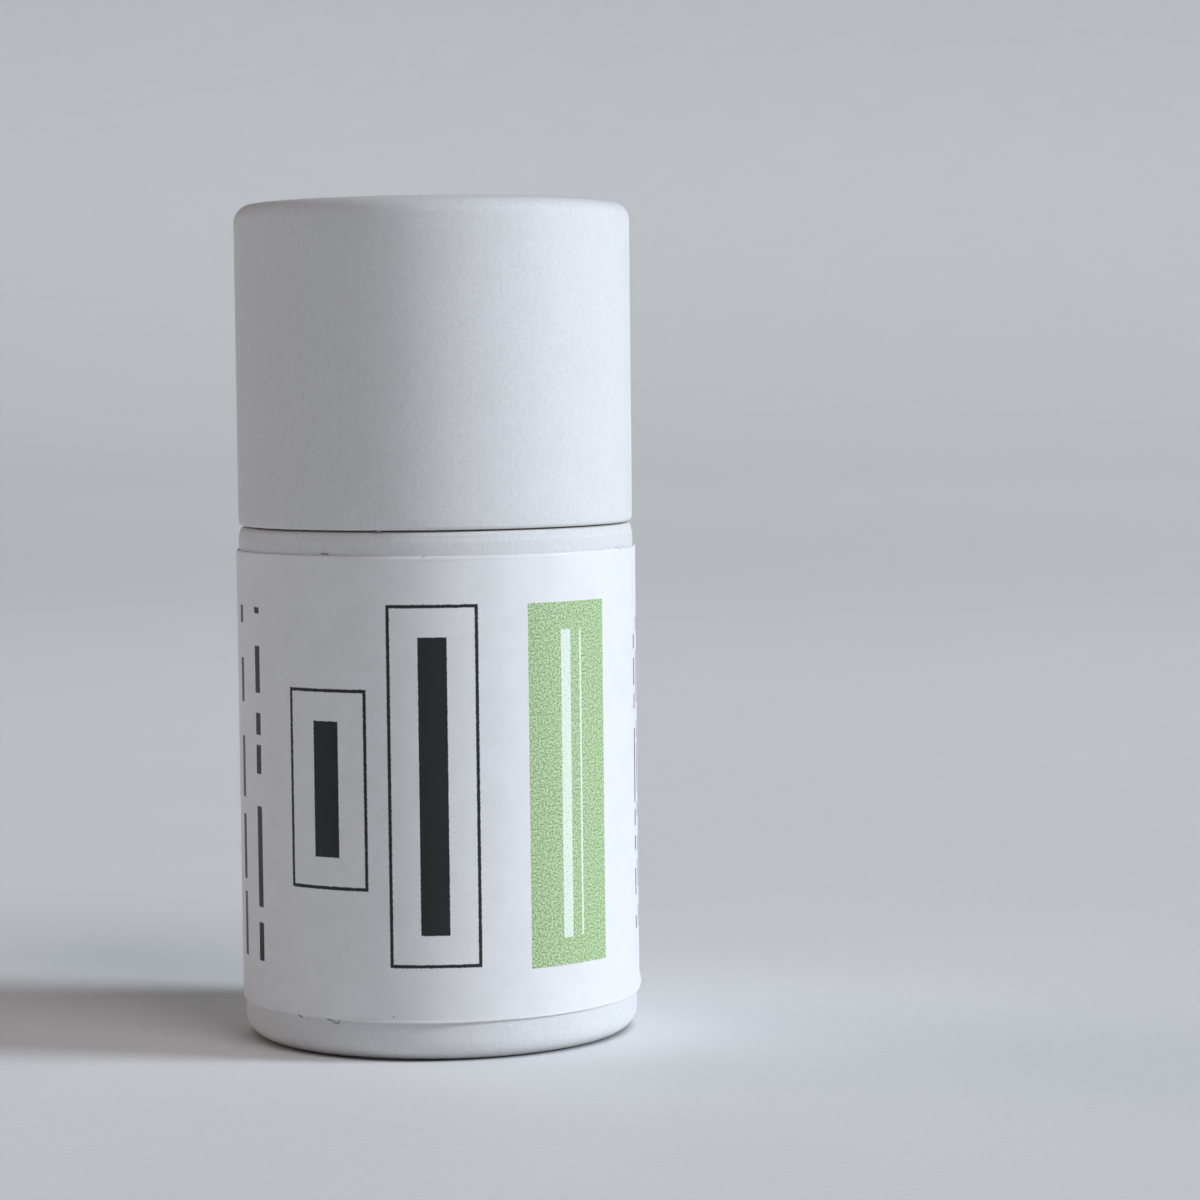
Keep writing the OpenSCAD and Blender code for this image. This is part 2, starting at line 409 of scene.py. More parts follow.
neckPaper = makeNeckPaper(neckValues)
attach(neckPaper, "base")
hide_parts("neck_wrap")

# Thin bead of dried glue where the neck stands in the shoulder
glueValues = {"width": 0.085, "height": 0.09, "uneven": 0.55, "stepsRound": 360}


def makeGlueBead(values):
    inner = neckHigh.x / mm - 0.03
    bead = [(inner, shoulderZ - 0.02), (inner, shoulderZ + values["height"]),
            (inner + 0.4 * values["width"], shoulderZ + 0.62 * values["height"]),
            (inner + 0.8 * values["width"], shoulderZ + 0.25 * values["height"]),
            (inner + values["width"] + 0.03, shoulderZ - 0.02), (inner, shoulderZ - 0.02)]
    reach = [0, 1, 1, 1, 1, 0]
    bm, layers = spinSection(bead, {"reach": reach}, values["stepsRound"])
    for vert in bm.verts:
        turn = turnOf(vert.co)
        part = values["uneven"] * (0.5 - 0.6 * ripple(turn, 0, 4, 83) - 0.4 * ripple(turn, 0, 17, 87))
        part = max(0.0, min(0.8, part)) * vert[layers["reach"]]
        radius = math.hypot(vert.co.x, vert.co.y) / mm
        pull = (radius - inner) * part / radius
        vert.co.x -= vert.co.x * pull
        vert.co.y -= vert.co.y * pull
        vert.co.z -= max(0.0, vert.co.z - shoulderZ * mm) * part
    addRoundUv(bm)
    sharpenEdges(bm)
    return makePiece(bm, "neckGlue")


neckGlue = makeGlueBead(glueValues)
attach(neckGlue, "base")
print("neck paper and glue made")


# Balm: poured, set with a dished top and a swirl where it set last
balmLow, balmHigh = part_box("balm")
balmValues = {
    "dishDepth": 1.6,
    "swirlHeight": 0.05,
    "swirlReach": 1.7,
    "crackDepth": 0.05,
    "crackRadius": 0.95,
    "ringHeight": 0.008,
    "shrink": 0.1,  # how far the balm has drawn away from the lining
    "stepsRound": 240,
}


def makeBalm(values):
    radius, foot, edge = balmHigh.x / mm, balmLow.z / mm, balmHigh.z / mm
    depth = values["dishDepth"]
    sphere = (radius * radius + depth * depth) / (2 * depth)
    points = stretch((0, foot), (radius, foot), 3)
    points += stretch((radius, foot), (radius, edge - 2.0), 3)[1:]
    points += stretch((radius, edge - 2.0), (radius, edge - 0.06), 7)[1:]
    points += [(radius - 0.02, edge - 0.015), (radius - 0.07, edge)]
    radii = [radius - 0.12, radius - 0.18, radius - 0.26, radius - 0.36]
    radii += [(radius - 0.36) * (1 - i / 18) + 2.2 * i / 18 for i in range(1, 18)]
    radii += [2.2 * (1 - i / 26) for i in range(26)]
    for r in radii:
        dish = edge - depth + sphere - math.sqrt(sphere * sphere - r * r)
        points.append((r, min(edge, dish + 0.02)))
    points.append((0, edge - depth + 0.02))
    top = [ease(edge - 2.4, edge - 1.2, z) if r >= radius - 0.03 else 0.0 for r, z in points]
    dish = [1.0 if i >= len(points) - len(radii) - 1 else 0.0 for i in range(len(points))]
    bm, layers = spinSection(points, {"top": top, "dish": dish}, values["stepsRound"])
    for vert in bm.verts:
        turn = turnOf(vert.co)
        x, y = vert.co.x / mm, vert.co.y / mm
        r = math.hypot(x, y)
        if vert[layers["dish"]] > 0.5:
            reach = values["swirlReach"]
            near = math.exp(-((r / reach) ** 2)) * ease(0, 0.35, r)
            lift = values["swirlHeight"] * near * math.sin(turn * 1.0 + 3.4 * r)
            lift += values["ringHeight"] * math.sin(r * 2.6) * ease(radius, radius - 2, r)
            lift += 0.02 * noise.noise(Vector((x * 0.35, y * 0.35, 5)))
            lift -= 0.16 * math.exp(-((r / 1.1) ** 2))
            away = math.hypot(x - 0.35, y + 0.3)
            side = math.degrees(math.atan2(y + 0.3, x - 0.35))
            arcPart = ease(-150, -120, side) * ease(25, -5, side)
            crack = math.exp(-(((away - values["crackRadius"]) / 0.06) ** 2))
            lift -= values["crackDepth"] * arcPart * crack
            vert.co.z += lift * ease(radius - 0.05, radius - 0.5, r) * mm
        gap = ease(0.1, 0.55, ripple(turn, 0, 1.8, 91)) * vert[layers["top"]]
        if gap > 0 and r > 0:
            pull = values["shrink"] * gap / r
            vert.co.x -= vert.co.x * pull
            vert.co.y -= vert.co.y * pull
    addRoundUv(bm)
    sharpenEdges(bm)
    return makePiece(bm, "balmFill")


balmFill = makeBalm(balmValues)
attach(balmFill, "cup")
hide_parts("balm")
print("balm made")


# Paper on the disc that closes the cap, a little crowned and creased by the rolled rim
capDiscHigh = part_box("cap_disc_paper")[1]
topSheetValues = {"thickness": 0.12, "crown": 0.1, "crease": 0.012, "stepsRound": 240}


def makeTopSheet(values):
    radius, level = capDiscHigh.x / mm, capDiscHigh.z / mm
    noseRadius = tubeRadius - rolledRim["rollWidth"]
    points = [(radius - 0.02, level), (noseRadius + 0.5, level)]
    points += [(noseRadius * (1 - i / 30) + 0.2 * (i == 0), level) for i in range(31)]
    bm, layers = spinSection(points, {}, values["stepsRound"])
    for vert in bm.verts:
        turn = turnOf(vert.co)
        r = math.hypot(vert.co.x, vert.co.y) / mm
        lift = values["crown"] * ease(noseRadius, noseRadius - 3.2, r)
        lift += 0.012 * noise.noise(Vector((vert.co.x / mm * 0.5, vert.co.y / mm * 0.5, 8)))
        ringPart = ease(noseRadius - 2.4, noseRadius, r) * ease(noseRadius + 0.5, noseRadius, r)
        lift -= values["crease"] * ringPart * groove(turn, 34, 41)
        vert.co.z += (lift - 0.02) * mm
    if bm.faces[0].normal.z < 0:
        bmesh.ops.reverse_faces(bm, faces=bm.faces[:])
    bmesh.ops.solidify(bm, geom=bm.faces[:], thickness=values["thickness"] * mm)
    addRoundUv(bm)
    sharpenEdges(bm)
    return makePiece(bm, "capTopSheet")


capTopSheet = makeTopSheet(topSheetValues)
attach(capTopSheet, "cap")
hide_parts("cap_disc_paper")


# Loose paper fibres and specks at the cut edges of the label and the cap, and grey threads of painted
# shade where the label's edges are nicked
fibreValues = {
    "labelFibresAndNickShade": {"thick": 0.034, "lines": [
        # painted shadow: this first dark grey thread stands where a nick in the label's lower edge lies
        # in shade
        [(-34.2, 2.40, 0.12), (-33.0, 2.37, 0.18), (-32.1, 2.33, 0.19), (-31.4, 2.19, 0.17),
         (-30.5, 2.15, 0.15), (-29.6, 2.30, 0.18)],
        [(-44.5, 2.43, 0.14), (-43.6, 2.37, 0.18), (-43.0, 2.30, 0.17)],
        [(-13.7, 2.74, 0.16), (-13.3, 2.72, 0.16)],
        [(-33.8, 29.74, 0.05), (-32.7, 29.73, 0.09), (-31.5, 29.70, 0.06)],
    ]},
    # painted shade: light grey threads stand for the shade in small nicks along the label's top edge
    "labelNickShade": {"thick": 0.018, "lines": [
        [(-4.2, 29.54, 0.11), (-3.4, 29.58, 0.12), (-2.8, 29.66, 0.09)],
        [(16.2, 29.39, 0.13), (17.1, 29.36, 0.15), (18.1, 29.39, 0.13)],
        [(62.2, 29.72, 0.08), (65.0, 29.56, 0.15), (67.4, 29.68, 0.12), (70.1, 29.50, 0.15),
         (73.4, 29.61, 0.14), (76.0, 29.49, 0.15), (79.0, 29.60, 0.13)],
    ]},
    "mouthFibre": {"thick": 0.025, "lines": [
        [(-17.6, 31.17, -0.12), (-16.6, 31.06, -0.14), (-15.6, 31.07, -0.15), (-14.9, 31.17, -0.13)],
    ]},
}


def makeFibres(name, values):
    # each point is degrees from the front, height, and distance off the tube's wall
    curve = bpy.data.curves.new(name, "CURVE")
    curve.dimensions = "3D"
    curve.bevel_depth = values["thick"] * mm
    curve.bevel_resolution = 2
    curve.use_fill_caps = True
    for line in values["lines"]:
        spline = curve.splines.new("POLY")
        spline.points.add(len(line) - 1)
        for point, (degrees, z, off) in zip(spline.points, line):
            turn, radius = math.radians(degrees), tubeRadius + off
            point.co = (radius * math.sin(turn) * mm, -radius * math.cos(turn) * mm, z * mm, 1)
    holder = bpy.data.objects.new(name, curve)
    bpy.context.scene.collection.objects.link(holder)
    bpy.context.view_layer.update()
    tubes = bpy.data.meshes.new_from_object(holder.evaluated_get(bpy.context.evaluated_depsgraph_get()))
    bpy.data.objects.remove(holder)
    bm = bmesh.new()
    bm.from_mesh(tubes)
    sharpenEdges(bm)
    return makePiece(bm, name)


labelFibresAndNickShade = makeFibres("labelFibresAndNickShade", fibreValues["labelFibresAndNickShade"])
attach(labelFibresAndNickShade, "base")
labelNickShade = makeFibres("labelNickShade", fibreValues["labelNickShade"])
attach(labelNickShade, "base")
mouthFibre = makeFibres("mouthFibre", fibreValues["mouthFibre"])
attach(mouthFibre, "cap")
print("top sheet and fibres made")


# Node helpers
def feedSockets(tree, node, sockets):
    for key, value in sockets.items():
        if isinstance(value, bpy.types.NodeSocket):
            tree.links.new(value, node.inputs[key])
        else:
            node.inputs[key].default_value = value
    return node


def addNode(tree, kind, sockets=None, **settings):
    node = tree.nodes.new("ShaderNode" + kind)
    for key, value in settings.items():
        setattr(node, key, value)
    return feedSockets(tree, node, sockets or {})


def calc(tree, operation, *values):
    return addNode(tree, "Math", dict(enumerate(values)), operation=operation).outputs[0]


def remap(tree, value, fromLow, fromHigh, toLow=0.0, toHigh=1.0, smooth=True):
    kind = "SMOOTHSTEP" if smooth else "LINEAR"
    sockets = {0: value, 1: fromLow, 2: fromHigh, 3: toLow, 4: toHigh}
    return addNode(tree, "MapRange", sockets, interpolation_type=kind).outputs[0]


def blendColour(tree, factor, under, over, mode="MIX"):
    sockets = {0: factor, 6: under, 7: over}
    return addNode(tree, "Mix", sockets, data_type="RGBA", blend_type=mode).outputs[2]


def noiseFac(tree, vector, scale, detail=2.0, rough=0.55, distortion=0.0):
    sockets = {"Vector": vector, "Scale": scale, "Detail": detail, "Roughness": rough,
               "Distortion": distortion}
    return addNode(tree, "TexNoise", sockets).outputs["Fac"]


def calcVector(tree, operation, *vectors):
    return addNode(tree, "VectorMath", dict(enumerate(vectors)), operation=operation).outputs[0]


def weighted(tree, first, firstShare, second, secondShare):
    parts = [calc(tree, "MULTIPLY", first, firstShare), calc(tree, "MULTIPLY", second, secondShare)]
    return calc(tree, "ADD", *parts)


def objectInMm(tree):
    place = addNode(tree, "TexCoord").outputs["Object"]
    return calcVector(tree, "MULTIPLY", place, (1 / mm, 1 / mm, 1 / mm))


def uvInMm(tree):
    return addNode(tree, "UVMap", uv_map="UVMap").outputs["UV"]


def startGroup(name, inputs, outputs):
    group = bpy.data.node_groups.new(name, "ShaderNodeTree")
    for label, value in inputs.items():
        kind = "NodeSocketVector" if isinstance(value, tuple) else "NodeSocketFloat"
        socket = group.interface.new_socket(label, in_out="INPUT", socket_type=kind)
        socket.default_value = value
    for label in outputs:
        group.interface.new_socket(label, in_out="OUTPUT", socket_type="NodeSocketFloat")
    return group, group.nodes.new("NodeGroupInput").outputs, group.nodes.new("NodeGroupOutput").inputs


def useGroup(tree, group, sockets):
    node = tree.nodes.new("ShaderNodeGroup")
    node.node_tree = group
    return feedSockets(tree, node, sockets).outputs


# Cloudy pulp, fine tooth and drawn fibres of a paper, and the soft marks of handling
def makePaperGroup():
    group, given, result = startGroup(
        "paperFormation",
        {"Vector": (0.0, 0.0, 0.0), "Cloud Scale": 0.6, "Tooth Scale": 6.0, "Draw": (1.0, 1.0, 0.3)},
        ["Cloud", "Tooth", "Fibre", "Smudge"])
    tree = group
    cloud = noiseFac(tree, given["Vector"], given["Cloud Scale"], 3, 0.6)
    tooth = noiseFac(tree, given["Vector"], given["Tooth Scale"], 3, 0.6)
    drawn = calcVector(tree, "MULTIPLY", given["Vector"], given["Draw"])
    fibre = noiseFac(tree, drawn, calc(tree, "MULTIPLY", given["Tooth Scale"], 0.75), 2, 0.5, 0.6)
    smudge = noiseFac(tree, given["Vector"], 0.16, 3, 0.5, 0.8)
    for label, value in {"Cloud": cloud, "Tooth": tooth, "Fibre": fibre, "Smudge": smudge}.items():
        tree.links.new(value, result[label])
    return group


# Rare dots, such as bark specks in pulp or dust: one cell in many shows its dot
def makeSpeckGroup():
    group, given, result = startGroup(
        "straySpecks", {"Vector": (0.0, 0.0, 0.0), "Scale": 1.2, "Share": 0.12, "Size": 0.09}, ["Mask"])
    tree = group
    cells = addNode(tree, "TexVoronoi", {"Vector": given["Vector"], "Scale": given["Scale"]})
    pick = addNode(tree, "SeparateColor", {0: cells.outputs["Color"]})
    shown = calc(tree, "LESS_THAN", pick.outputs[0], given["Share"])
    size = calc(tree, "MULTIPLY", given["Size"], calc(tree, "ADD", pick.outputs[1], 0.4))
    dot = calc(tree, "SUBTRACT", 1.0, calc(tree, "DIVIDE", cells.outputs["Distance"], size))
    dot = calc(tree, "MULTIPLY", addNode(tree, "Clamp", {0: dot}).outputs[0], shown)
    tree.links.new(dot, result["Mask"])
    return group


# Rubbed band round a rim at one height
def makeWearGroup():
    group, given, result = startGroup(
        "rimWear", {"Vector": (0.0, 0.0, 0.0), "Height": 0.0, "Reach": 0.3, "Break-up": 4.0}, ["Mask"])
    tree = group
    height = addNode(tree, "SeparateXYZ", {0: given["Vector"]}).outputs[2]
    off = calc(tree, "ABSOLUTE", calc(tree, "SUBTRACT", height, given["Height"]))
    band = calc(tree, "SUBTRACT", 1.0, calc(tree, "DIVIDE", off, given["Reach"]))
    patch = noiseFac(tree, given["Vector"], given["Break-up"], 3, 0.6)
    worn = calc(tree, "MULTIPLY", addNode(tree, "Clamp", {0: band}).outputs[0],
                remap(tree, patch, 0.42, 0.62))
    tree.links.new(worn, result["Mask"])
    return group


# Rectangle of ink with a slightly ragged edge, in the label's own millimetres
def makeBarGroup():
    group, given, result = startGroup(
        "inkBar", {"Vector": (0.0, 0.0, 0.0), "Middle": (0.0, 0.0, 0.0), "Half": (1.0, 1.0, 0.0),
                   "Edge": 0.02}, ["Mask"])
    tree = group
    offset = calcVector(tree, "ABSOLUTE", calcVector(tree, "SUBTRACT", given["Vector"], given["Middle"]))
    inside = calcVector(tree, "SUBTRACT", given["Half"], offset)
    parts = addNode(tree, "SeparateXYZ", {0: inside})
    depth = calc(tree, "MINIMUM", parts.outputs[0], parts.outputs[1])
    mask = addNode(tree, "Clamp", {0: calc(tree, "ADD", calc(tree, "DIVIDE", depth, given["Edge"]), 0.5)})
    tree.links.new(mask.outputs[0], result["Mask"])
    return group


# Block of fine broken rules, which run along the tube
def makeRuleGroup():
    group, given, result = startGroup(
        "brokenRules", {"Vector": (0.0, 0.0, 0.0), "Start": 0.0, "Pitch": 0.9, "Thick": 0.3,
                        "Dash Scale": 0.8, "Seed": 0.0}, ["Mask"])
    tree = group
    parts = addNode(tree, "SeparateXYZ", {0: given["Vector"]})
    row = calc(tree, "DIVIDE", calc(tree, "SUBTRACT", parts.outputs[0], given["Start"]), given["Pitch"])
    index = calc(tree, "FLOOR", row)
    off = calc(tree, "ABSOLUTE", calc(tree, "SUBTRACT", calc(tree, "FRACT", row), 0.5))
    off = calc(tree, "MULTIPLY", off, given["Pitch"])
    off = calc(tree, "SUBTRACT", off, calc(tree, "MULTIPLY", given["Thick"], 0.5))
    line = remap(tree, off, 0.015, -0.015)
    shift = calc(tree, "ADD", calc(tree, "MULTIPLY", index, 37.7), given["Seed"])
    along = calc(tree, "ADD", calc(tree, "MULTIPLY", parts.outputs[1], given["Dash Scale"]), shift)
    dashes = addNode(tree, "TexNoise", {"W": along, "Scale": 1.0, "Detail": 0.0}, noise_dimensions="1D")
    mask = calc(tree, "MULTIPLY", line, remap(tree, dashes.outputs["Fac"], 0.44, 0.455))
    tree.links.new(mask, result["Mask"])
    return group


paperGroup = makePaperGroup()
speckGroup = makeSpeckGroup()
wearGroup = makeWearGroup()
barGroup = makeBarGroup()
ruleGroup = makeRuleGroup()


def startMaterial(name, **sockets):
    material = bpy.data.materials.new(name)
    material.use_nodes = True
    tree = material.node_tree
    tree.nodes.clear()
    inputs = {key.replace("_", " "): value for key, value in sockets.items()}
    shader = addNode(tree, "BsdfPrincipled", inputs)
    output = addNode(tree, "OutputMaterial")
    tree.links.new(shader.outputs[0], output.inputs[0])
    return material, tree, shader


def addBump(tree, shader, height, depth, strength=1.0):
    bump = addNode(tree, "Bump", {"Height": height, "Distance": depth * mm, "Strength": strength})
    tree.links.new(bump.outputs[0], shader.inputs["Normal"])


def grey(value, tint=(1, 1, 1)):
    return (value * tint[0], value * tint[1], value * tint[2], 1)


outerPaperLook = {
    "white": grey(0.745, (1.0, 0.995, 1.0)),
    "cloudShade": 0.02,
    "toothShade": grey(0.61, (1.0, 0.99, 0.98)),
    "speckShade": grey(0.42, (1.0, 0.95, 0.88)),
    "wornShade": grey(0.66, (1.0, 0.97, 0.92)),
    # painted shade at the foot of the tube, strongest where it meets the table
    "paintedFootShade": grey(0.50, (1.0, 0.98, 0.95)),
    "footReach": 0.75,
    "bumpDepth": 0.012,
}


def makeOuterPaper(name, values, wornHeights):
    material, tree, shader = startMaterial(name, Specular_IOR_Level=0.32)
    place = objectInMm(tree)
    paper = useGroup(tree, paperGroup, {"Vector": place, "Cloud Scale": 0.55, "Tooth Scale": 5.5,
                                        "Draw": (1.0, 1.0, 0.28)})
    specks = useGroup(tree, speckGroup, {"Vector": place, "Scale": 0.9, "Share": 0.16, "Size": 0.075})
    shade = weighted(tree, paper["Cloud"], 0.5, paper["Fibre"], 0.5)
    low = grey(values["white"][0] * (1 - 2 * values["cloudShade"]), (1.0, 0.995, 0.985))
    colour = blendColour(tree, remap(tree, shade, 0.3, 0.7), low, values["white"])
    pits = remap(tree, paper["Tooth"], 0.38, 0.62, 0.32, 0.0)
    colour = blendColour(tree, pits, colour, values["toothShade"])
    colour = blendColour(tree, calc(tree, "MULTIPLY", specks["Mask"], 0.6), colour, values["speckShade"])
    for height, reach in wornHeights:
        sockets = {"Vector": place, "Height": height, "Reach": reach, "Break-up": 2.6}
        worn = calc(tree, "MULTIPLY", useGroup(tree, wearGroup, sockets)["Mask"], 0.35)
        colour = blendColour(tree, worn, colour, values["wornShade"])
    overTable = addNode(tree, "SeparateXYZ", {0: place}).outputs[2]  # painted shade: the paper darkens towards the table it stands on
    paintedFootShadow = remap(tree, overTable, 0.0, values["footReach"], 0.8, 0.0)
    colour = blendColour(tree, paintedFootShadow, colour, values["paintedFootShade"])
    tree.links.new(colour, shader.inputs["Base Color"])
    tree.links.new(remap(tree, paper["Smudge"], 0.35, 0.65, 0.52, 0.66), shader.inputs["Roughness"])
    relief = weighted(tree, paper["Tooth"], 0.6, paper["Fibre"], 0.4)
    addBump(tree, shader, relief, values["bumpDepth"])
    return material


labelLook = {
    "white": grey(0.835, (1.0, 0.995, 1.0)),
    "ink": (0.016, 0.016, 0.017, 1),
    "panelLight": (0.59, 0.73, 0.44, 1),
    "panelDark": (0.21, 0.35, 0.13, 1),
    "panelPale": (0.78, 0.87, 0.74, 1),
    "softGrey": grey(0.12),
    "toothShade": grey(0.70, (1.0, 0.99, 0.98)),
    "bumpDepth": 0.0055,
    # middle and half size of each printed bar: along the arc from the front, and height over the table
    "panel": ((8.41, 16.0), (2.95, 10.73)),
    "paleBars": [((8.1, 16.0), (0.36, 9.1)), ((9.25, 16.0), (0.07, 9.1))],
    "thickBars": [((-0.32, 16.2), (0.85, 8.7)), ((-7.0, 15.95), (0.85, 4.0))],
    "frames": [((-0.32, 16.2), (2.7, 10.6)), ((-7.0, 15.95), (2.7, 5.9))],
    "frameLine": 0.2,
}


def makeLabelPaper(values):
    material, tree, shader = startMaterial("labelPaper", Specular_IOR_Level=0.4)
    flat = uvInMm(tree)
    paper = useGroup(tree, paperGroup, {"Vector": flat, "Cloud Scale": 0.5, "Tooth Scale": 7.0,
                                        "Draw": (1.0, 0.35, 1.0)})
    specks = useGroup(tree, speckGroup, {"Vector": flat, "Scale": 0.7, "Share": 0.1, "Size": 0.05})
    # the print wanders a few hundredths of a millimetre at its edges
    drift = addNode(tree, "TexNoise", {"Vector": flat, "Scale": 7.0, "Detail": 2.0}).outputs["Color"]
    drift = calcVector(tree, "SUBTRACT", drift, (0.5, 0.5, 0.5))
    drift = addNode(tree, "VectorMath", {0: drift, 3: 0.09}, operation="SCALE").outputs[0]
    ragged = calcVector(tree, "ADD", flat, drift)

    def bar(spot):
        sockets = {"Vector": ragged, "Middle": (*spot[0], 0), "Half": (*spot[1], 1), "Edge": 0.03}
        return useGroup(tree, barGroup, sockets)["Mask"]

    def union(masks):
        total = masks[0]
        for mask in masks[1:]:
            total = calc(tree, "MAXIMUM", total, mask)
        return total

    low = grey(values["white"][0] * 0.955, (1.0, 0.995, 0.99))
    colour = blendColour(tree, remap(tree, paper["Cloud"], 0.3, 0.7), low, values["white"])
    pits = remap(tree, paper["Tooth"], 0.38, 0.62, 0.22, 0.0)
    colour = blendColour(tree, pits, colour, values["toothShade"])
    colour = blendColour(tree, calc(tree, "MULTIPLY", specks["Mask"], 0.5), colour, values["softGrey"])
    # the outer face turns a little grey over the last tenth of a millimetre before the lap's cut end
    lapEnd = (math.pi + labelValues["lap"] / tubeRadius / 2) * labelHigh.x / mm
    across = calc(tree, "ABSOLUTE", addNode(tree, "SeparateXYZ", {0: ragged}).outputs[0])
    lapEndGrey = remap(tree, across, lapEnd - 0.13, lapEnd - 0.03, 0.0, 0.25)
    colour = blendColour(tree, lapEndGrey, colour, values["softGrey"])
    # green panel: a coarse print screen over the pulp
    mottle = noiseFac(tree, flat, 8.5, 3, 0.7)
    inked = remap(tree, mottle, 0.42, 0.58, smooth=False)
    green = blendColour(tree, inked, values["panelDark"], values["panelLight"])
    pale = union([bar(spot) for spot in values["paleBars"]])
    pale = calc(tree, "MULTIPLY", pale, remap(tree, mottle, 0.2, 0.5))
    green = blendColour(tree, pale, green, values["panelPale"])
    panel = bar(values["panel"])
    colour = blendColour(tree, panel, colour, green)
    # dark rules
    line = values["frameLine"]
    rings = [calc(tree, "SUBTRACT", bar((middle, half)), bar((middle, (half[0] - line, half[1] - line))))
             for middle, half in values["frames"]]
    dark = union([bar(spot) for spot in values["thickBars"]] + rings)
    left = useGroup(tree, ruleGroup, {"Vector": ragged, "Start": -17.2, "Pitch": 2.7, "Thick": 0.62,
                                      "Dash Scale": 0.42, "Seed": 4.3})["Mask"]
    left = calc(tree, "MULTIPLY", left, bar(((-14.5, 15.8), (2.7, 10.6))))
    right = useGroup(tree, ruleGroup, {"Vector": ragged, "Start": 16.0, "Pitch": 0.95, "Thick": 0.3,
                                       "Dash Scale": 0.7, "Seed": 9.1})["Mask"]
    right = calc(tree, "MULTIPLY", right, bar(((20.3, 15.75), (4.3, 9.45))))
    dark = union([dark, left, right])
    colour = blendColour(tree, dark, colour, values["ink"])
    tree.links.new(colour, shader.inputs["Base Color"])
    printed = calc(tree, "MAXIMUM", dark, panel)
    rough = remap(tree, paper["Smudge"], 0.35, 0.65, 0.42, 0.54)
    rough = calc(tree, "SUBTRACT", rough, calc(tree, "MULTIPLY", printed, 0.06))
    tree.links.new(rough, shader.inputs["Roughness"])
    relief = weighted(tree, paper["Tooth"], 0.7, paper["Fibre"], 0.3)
    relief = calc(tree, "ADD", relief, calc(tree, "MULTIPLY", printed, 0.35))
    addBump(tree, shader, relief, values["bumpDepth"])
    return material


boardLook = {
    "pale": (0.79, 0.78, 0.755, 1),
    "dark": (0.66, 0.62, 0.55, 1),
    "plyPitch": 0.19,
    "bumpDepth": 0.015,
}


def makeBoard(values):
    material, tree, shader = startMaterial("woundBoard", Specular_IOR_Level=0.2)
    place = objectInMm(tree)
    paper = useGroup(tree, paperGroup, {"Vector": place, "Cloud Scale": 1.1, "Tooth Scale": 4.5,
                                        "Draw": (1.0, 1.0, 0.4)})
    specks = useGroup(tree, speckGroup, {"Vector": place, "Scale": 1.6, "Share": 0.3, "Size": 0.12})
    # plies show as rings where the board is cut
    parts = addNode(tree, "SeparateXYZ", {0: place})
    ring = addNode(tree, "CombineXYZ", {0: parts.outputs[0], 1: parts.outputs[1], 2: 0.0}).outputs[0]
    radius = addNode(tree, "VectorMath", {0: ring}, operation="LENGTH").outputs["Value"]
    radius = calc(tree, "ADD", radius, calc(tree, "MULTIPLY", paper["Cloud"], 0.12))
    ply = calc(tree, "FRACT", calc(tree, "DIVIDE", radius, values["plyPitch"]))
    gap = remap(tree, calc(tree, "ABSOLUTE", calc(tree, "SUBTRACT", ply, 0.5)), 0.08, 0.0)
    colour = blendColour(tree, remap(tree, paper["Fibre"], 0.3, 0.7), values["dark"], values["pale"])
    colour = blendColour(tree, 0.6, colour, values["pale"])
    colour = blendColour(tree, calc(tree, "MULTIPLY", gap, 0.3), colour, values["dark"])
    colour = blendColour(tree, calc(tree, "MULTIPLY", specks["Mask"], 0.5), colour, (0.25, 0.2, 0.15, 1))
    tree.links.new(colour, shader.inputs["Base Color"])
    tree.links.new(remap(tree, paper["Tooth"], 0.3, 0.7, 0.72, 0.88), shader.inputs["Roughness"])
    height = calc(tree, "SUBTRACT", paper["Fibre"], calc(tree, "MULTIPLY", gap, 0.5))
    addBump(tree, shader, height, values["bumpDepth"])
    return material


greaseproofLook = {
    "ivory": (0.80, 0.80, 0.74, 1),
    "stain": (0.70, 0.68, 0.56, 1),
    "bumpDepth": 0.008,
}


def makeGreaseproof(values):
    material, tree, shader = startMaterial("greaseproofPaper", Specular_IOR_Level=0.5, Coat_Weight=0.12,
                                           Coat_Roughness=0.35)
    place = objectInMm(tree)
    paper = useGroup(tree, paperGroup, {"Vector": place, "Cloud Scale": 0.7, "Tooth Scale": 3.6,
                                        "Draw": (1.0, 1.0, 0.5)})
    stained = remap(tree, paper["Cloud"], 0.42, 0.68, 0.0, 0.5)
    colour = blendColour(tree, stained, values["ivory"], values["stain"])
    tree.links.new(colour, shader.inputs["Base Color"])
    tree.links.new(remap(tree, paper["Smudge"], 0.35, 0.65, 0.3, 0.46), shader.inputs["Roughness"])
    addBump(tree, shader, paper["Fibre"], values["bumpDepth"])
    return material


balmLook = {
    "cream": (0.78, 0.77, 0.60, 1),
    "pale": (0.80, 0.81, 0.66, 1),
    "oil": (0.72, 0.70, 0.51, 1),
    "bumpDepth": 0.012,
}


